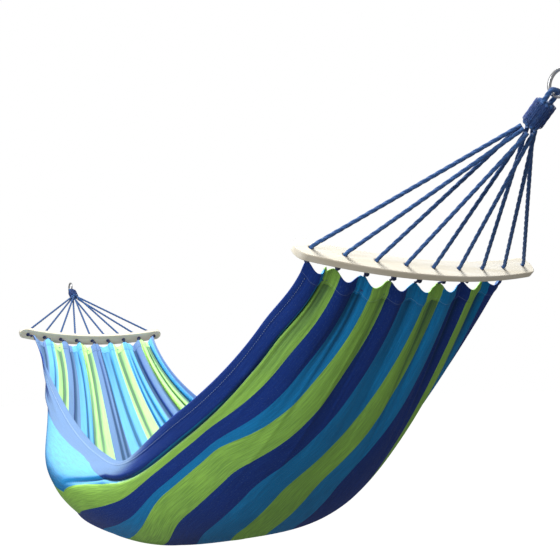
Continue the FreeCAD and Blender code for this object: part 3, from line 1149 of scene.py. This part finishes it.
def casing(name, end):
    shares = np.linspace(0.0, 1.0, 513)
    cut = edge_set_back + scallop(section(hem_x, shares)[0][:, 1]) / 2
    inner_x, outer_x = at_end(end, [(hem_x - casing_depth,), (hem_x,)])[:, 0]
    low, high = bed_points(inner_x, shares), bed_points(outer_x, shares)
    outs = np.concatenate([np.linspace(0, 0.9, 14), [0.94, 0.97, 0.99, 1.0]])
    rows = []
    thickness = []
    marks = []
    for v in outs:
        outward = v * (casing_depth - cut)
        row = low + (high - low) * (outward / casing_depth)[:, None]
        deep = 0.0017 + 0.0021 * np.exp(-(((outward - 0.007) / 0.0052) ** 2))
        rounding = math.sqrt(max(1 - max((v - 0.90) / 0.10, 0.0) ** 2, 0.02))
        rounding *= 0.72 if v == 0 else 1.0
        rows.append(row)
        thickness.append(deep * rounding)
        marks.append(np.column_stack([0.02 + v * 0.02 + np.zeros(len(shares)),
                                      cloth_share(inner_x, shares), np.full(len(shares), v - 0.12)]))
    rows, thickness, marks = np.array(rows), np.array(thickness), np.array(marks)
    if end == "far":
        rows, thickness, marks = rows[::-1], thickness[::-1], marks[::-1]
    return shell(name, rows, thickness, marks, np.zeros(thickness.shape), canvas_cloth)


for end in ends:
    piece = casing(end + "_rope_casing", end)
    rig.ride(piece, "bed")
    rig.replaces(piece, end + "_hem_band")
    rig.slot(piece, "canvas")
    hem_pieces.append(piece)
print("end hems:", [p.name for p in hem_pieces[2:]])

# %% [markdown]
# Short cords and their knots
#
# From each hole a short cord drops to the bed's hem. A stopper knot holds it against
# the board, and a second knot closes its loop on the rope in the hem. These cords
# bend where the bed tips against the bar, so they blend between the two bodies.

# %% Short cords
hem_cord_reach = 0.251


def hem_point(number):
    y = number / cord_numbers[-1] * hem_cord_reach
    return np.array([hem_x, y, float(bed_height(hem_x, y / hem_half_width))])


def short_route(number):
    side = number * hole_pitch
    top = fan_point(-0.004, side, smile(side))
    bend = fan_point(-0.0215, side, smile(side))
    hem = hem_point(number)
    heading = (hem - bend) / np.linalg.norm(hem - bend)
    return [top, bend, hem + heading * 0.006]


short_length = {}
for end in ends:
    carrier = "near_fan" if end == "near" else "far_bar"
    for number in cord_numbers:
        line = smooth_line(at_end(end, short_route(number)), 0.0013)
        name = "%s_short_cord_%d" % (end, number + 5)
        skins = [skin(line, hem_cord_radius, strands=3, lay=0.016, around=18)]
        piece = joined_skins(name, skins, dark_cord)
        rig.blend(piece, carrier, "bed",
                 at_end(end, fan_point(-0.0135, 0, 0.0)), at_end(end, fan_point(-0.024, 0, 0.0)))
        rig.slot(piece, "rope")
        if number == 0:
            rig.replaces(piece, end + "_hem_cords")
        short_length[name] = length_of(line)
        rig.cord(piece, exit=tuple(line[0]), length=short_length[name], diameter=2 * hem_cord_radius,
                far_end="object", stiffness="limp", lay="taut", path=line)
print("short cords, shortest and longest:",
      round(min(short_length.values()), 3), round(max(short_length.values()), 3))

# %% Knots
def knot_skins(centre, axis, reach, rope, rise, turns, twist):
    axis = axis / np.linalg.norm(axis)
    first = np.cross(axis, side_dir)
    first /= np.linalg.norm(first)
    second = np.cross(axis, first)
    angles = np.linspace(0, 2 * math.pi * turns, int(40 * turns))
    heights = np.linspace(-rise, rise, len(angles)) + 0.0004 * np.sin(3 * angles + twist)
    wraps = [centre + axis * h + (first * math.cos(a + twist) + second * math.sin(a + twist)) * reach
             for a, h in zip(angles, heights)]
    crossing = []
    for share in np.linspace(0, 1, 16):
        a = 1.5 * share + twist + 0.6
        outward = first * math.cos(a) + second * math.sin(a)
        bowed = reach + rope * 0.55 * math.sin(math.pi * share)
        crossing.append(centre + axis * (rise * 1.5 * (1 - 2 * share)) + outward * bowed)
    return [skin(np.array(line), rope, strands=3, lay=0.011, around=12, taper=(0.0015, 0.0015))
            for line in (wraps, crossing)]


for end in ends:
    carrier = "near_fan" if end == "near" else "far_bar"
    bar_skins = []
    hem_skins = []
    mirror = np.array([-1.0, 1.0, 1.0]) if end == "far" else np.array([1.0, 1.0, 1.0])
    for number in cord_numbers:
        side = number * hole_pitch
        centre = at_end(end, fan_point(-bar_face - 0.0030, side, smile(side)))
        bar_skins += knot_skins(centre, along_dir * mirror, reach=0.0048, rope=0.0023,
                                rise=0.0007, turns=1.3, twist=number * 1.1)
        route = short_route(number)
        heading = (route[1] - hem_point(number)) / np.linalg.norm(route[1] - hem_point(number))
        centre = at_end(end, hem_point(number) + heading * 0.008)
        hem_skins += knot_skins(centre, heading * mirror, reach=0.0036, rope=0.0017,
                                rise=0.0016, turns=2.2, twist=number * 0.9)
    stoppers = joined_skins(end + "_stopper_knots", bar_skins, dark_cord)
    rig.ride(stoppers, carrier)
    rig.replaces(stoppers, end + "_bar_knots")
    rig.slot(stoppers, "knot_cord")
    closers = joined_skins(end + "_loop_knots", hem_skins, dark_cord)
    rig.ride(closers, "bed")
    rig.replaces(closers, end + "_hem_knots")
    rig.slot(closers, "knot_cord")
print("knots:", 4 * len(cord_numbers))

# %% The rope inside each end hem
hem_rope_inset = 0.019
for end in ends:
    shares = np.linspace(0.002, 0.998, 33)
    route = bed_points(at_end(end, [(hem_x - hem_rope_inset,)])[0, 0], shares)
    line = smooth_line(route, 0.002)
    skins = [skin(line, hem_cord_radius, strands=3, lay=0.016, around=18, taper=(0.001, 0.001))]
    rope = joined_skins(end + "_hem_line", skins, navy_cord)
    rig.ride(rope, "bed")
    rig.replaces(rope, end + "_hem_rope")
    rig.slot(rope, "rope")
    hem_pieces.append(rope)
print("hem rope length:", round(length_of(line), 3))

# %% Tell the frame what the canvas is
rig.sheet(canvas, flat=(flat_width, flat_length), held="hung",
         rests_on=["near_rope_casing", "far_rope_casing"], with_pieces=hem_pieces)
print("canvas cut to", flat_width, "by", flat_length, "m")

# %% [markdown]
# The boards
#
# The spreader bars are pale boards, sanded and bare. The frame's solids are already
# right, so they only get a finish: long grain that follows the board, faint rings,
# dirt at the holes where the cords rub, and long edges a little darker.

# %% Board finish
def board_finish(end):
    material, graph, shader = finish(end + "_board", {"IOR": 1.45})
    flip = -1.0 if end == "far" else 1.0
    moved = vector_maths("SUBTRACT", places(graph), tuple(at_end(end, bar_centre)))

    def measured(direction):
        return vector_maths("DOT_PRODUCT", moved, (direction[0] * flip, direction[1], direction[2]), "Value")

    deep, side, up = measured(along_dir), measured(side_dir), measured(up_dir)
    rings = noise(joined(graph, side * 3.0, up * 60.0, deep * 60.0), 1.0, 4.0, 0.6)
    fibres = noise(joined(graph, side * 22.0, up * 900.0, deep * 900.0), 1.0, 2.0)
    across = smile_radius - up
    radial = graph.maths("SQRT", side * side + across * across) - smile_radius
    rim = ranged(radial.maths("ABSOLUTE", radial), 0.0185, 0.0225)
    numbered = side.maths("ROUND", side / hole_pitch)
    from_hole = side - numbered * hole_pitch
    at_hole = graph.maths("SQRT", from_hole * from_hole + radial * radial)
    rubbed = (1 - ranged(at_hole, 0.0036, 0.0085)) * ranged(fibres, 0.2, 0.8, 0.55, 1.0)
    pale = mixed(ranged(rings, 0.32, 0.68), rgb(242, 234, 214), rgb(252, 247, 234))
    lined = mixed(ranged(fibres, 0.52, 0.78) * 0.30, pale, rgb(228, 212, 182))
    # The colour turns a little darker toward the long edges.
    darker_long_edges = mixed(rim * 0.35, lined, rgb(226, 208, 176))
    feed(shader, "Base Color", mixed(rubbed * 0.65, darker_long_edges, rgb(110, 84, 58)))
    feed(shader, "Roughness", ranged(rings + rim * 0.2, 0.3, 0.9, 0.48, 0.66))
    feed(shader, "Normal", bump(fibres * 0.5 + rings * 0.5, 0.35, 0.0004))
    return material


def repaint(node, material):
    slots = frame["nodes"][node].data.materials
    slots.clear()
    slots.append(material)


for end in ends:
    repaint(end + "_spreader_bar", board_finish(end))
print("boards painted:", [end + "_spreader_bar" for end in ends])

# %% [markdown]
# The steel rings
#
# A welded ring is turned and brushed, so its scratches run round it. The scratches are
# noise stretched round the ring, and a soft brown haze sits where rope has rubbed.

# %% Ring finish
def ring_finish(end):
    material, graph, shader = finish(end + "_steel", {"Metallic": 1.0})
    moved = vector_maths("SUBTRACT", places(graph), tuple(at_end(end, np.zeros(3))))
    x, y, z = parts_of(moved)
    reach = graph.maths("SQRT", x * x + z * z)
    around = graph.maths("ARCTAN2", z, x)
    brushed = noise(joined(graph, reach * 2600.0, y * 2600.0, around * 1.5), 1.0, 3.0, 0.7)
    hazy = noise(moved, 160.0, 3.0)
    bare_steel = (0.66, 0.67, 0.69, 1.0)
    brown_haze = (0.40, 0.37, 0.34, 1.0)
    feed(shader, "Base Color", mixed(ranged(hazy, 0.5, 0.8) * 0.5, bare_steel, brown_haze))
    feed(shader, "Roughness", ranged(brushed, 0.25, 0.75, 0.22, 0.42))
    feed(shader, "Normal", bump(brushed, 0.18, 0.0002))
    return material


for end in ends:
    repaint(end + "_ring", ring_finish(end))
print("rings painted:", [end + "_ring" for end in ends])

# %% [markdown]
# Studio
#
# The photograph has a white surround and light from high up: the inside of the far half
# is bright and the underside of the near half is in soft shade. A white world does the
# shade and three broad lamps do the rest. The first lights the canvas alone, so that
# its stripes glow while the boards keep their grain. The floor isn't lit by the lamps
# but glows evenly where the camera sees it, and so it reads as white.

# %% World and lamps
def lamp(name, place, target, size, power):
    light = bpy.data.lights.new(name, "AREA")
    light.shape = "DISK"
    light.size = size
    light.energy = power
    holder = bpy.data.objects.new(name, light)
    bpy.context.scene.collection.objects.link(holder)
    holder.location = place
    aim = Vector(target) - Vector(place)
    holder.rotation_mode = "QUATERNION"
    holder.rotation_quaternion = aim.to_track_quat("-Z", "Y")
    return holder


world = bpy.data.worlds.new("white_room")
bpy.context.scene.world = world
world.use_nodes = True
sky = Shade(world.node_tree)
seen = sky.node("ShaderNodeLightPath", {}, {}, "Is Camera Ray")
background = world.node_tree.nodes["Background"]
background.inputs["Color"].default_value = (1.0, 1.0, 1.0, 1.0)
feed(background, "Strength", ranged(seen, 0.0, 1.0, 0.30, 1.0))
overhead = lamp("overhead", (middle_x + 0.5, -0.3, 2.4), (middle_x - 0.3, 0.0, -0.7), 1.6, 128.0)
top_light = lamp("top_light", (middle_x + 0.6, -0.6, 2.6), (middle_x, 0.0, -0.5), 2.0, 145.0)
side_light = lamp("side_light", (0.3, -2.6, 0.1), (-0.7, 0.0, -0.5), 1.0, 42.0)
bpy.context.scene.view_settings.view_transform = "Standard"
print("lamps:", [light.name for light in (overhead, top_light, side_light)])

# %% Floor
floor_z = -1.30
floor_radius = 40
floor_material, floor_graph, floor_shader = finish(
    "pale_floor", {"Roughness": 0.9, "Specular IOR Level": 0.2})
speckle = noise(places(floor_graph), 2.0, 3.0)
floor_colour = mixed(ranged(speckle, 0.3, 0.7), (0.86, 0.86, 0.86, 1.0), (0.90, 0.90, 0.89, 1.0))
feed(floor_shader, "Base Color", floor_colour)
lit = floor_graph.node("ShaderNodeLightPath", {}, {}, "Is Camera Ray")
feed(floor_shader, "Emission Color", mixed(lit, (0.0, 0.0, 0.0, 1.0), (1.0, 1.0, 1.0, 1.0)))
floor_shader.inputs["Emission Strength"].default_value = 0.80
floor_rim = [(middle_x + floor_radius * math.cos(a), floor_radius * math.sin(a), floor_z)
             for a in np.linspace(0, 2 * math.pi, 64, endpoint=False)]
floor = mesh_object("floor", floor_rim, [tuple(range(len(floor_rim)))], floor_material)
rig.stage(floor)
print("floor at", floor_z, "m")

# %% Which lamp lights which pieces
cloth_pieces = bpy.data.collections.new("lit_by_overhead")
all_pieces = bpy.data.collections.new("lit_by_the_others")
for piece in bpy.context.scene.objects:
    if piece.type == "MESH" and piece is not floor:
        all_pieces.objects.link(piece)
        if piece.data.materials and piece.data.materials[0] == canvas_cloth:
            cloth_pieces.objects.link(piece)
overhead.light_linking.receiver_collection = cloth_pieces
for light in (top_light, side_light):
    light.light_linking.receiver_collection = all_pieces
print("pieces in the overhead light:", len(cloth_pieces.objects), "of", len(all_pieces.objects))

# %% Sizes, written to extents.json
made_box = [list(corner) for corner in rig.bounds()]
with open("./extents.json", "w") as size_file:
    json.dump({"cad": cad_box, "visual": made_box}, size_file)
print("CAD box:", [[round(v, 3) for v in c] for c in cad_box])
print("visual box:", [[round(v, 3) for v in c] for c in made_box])
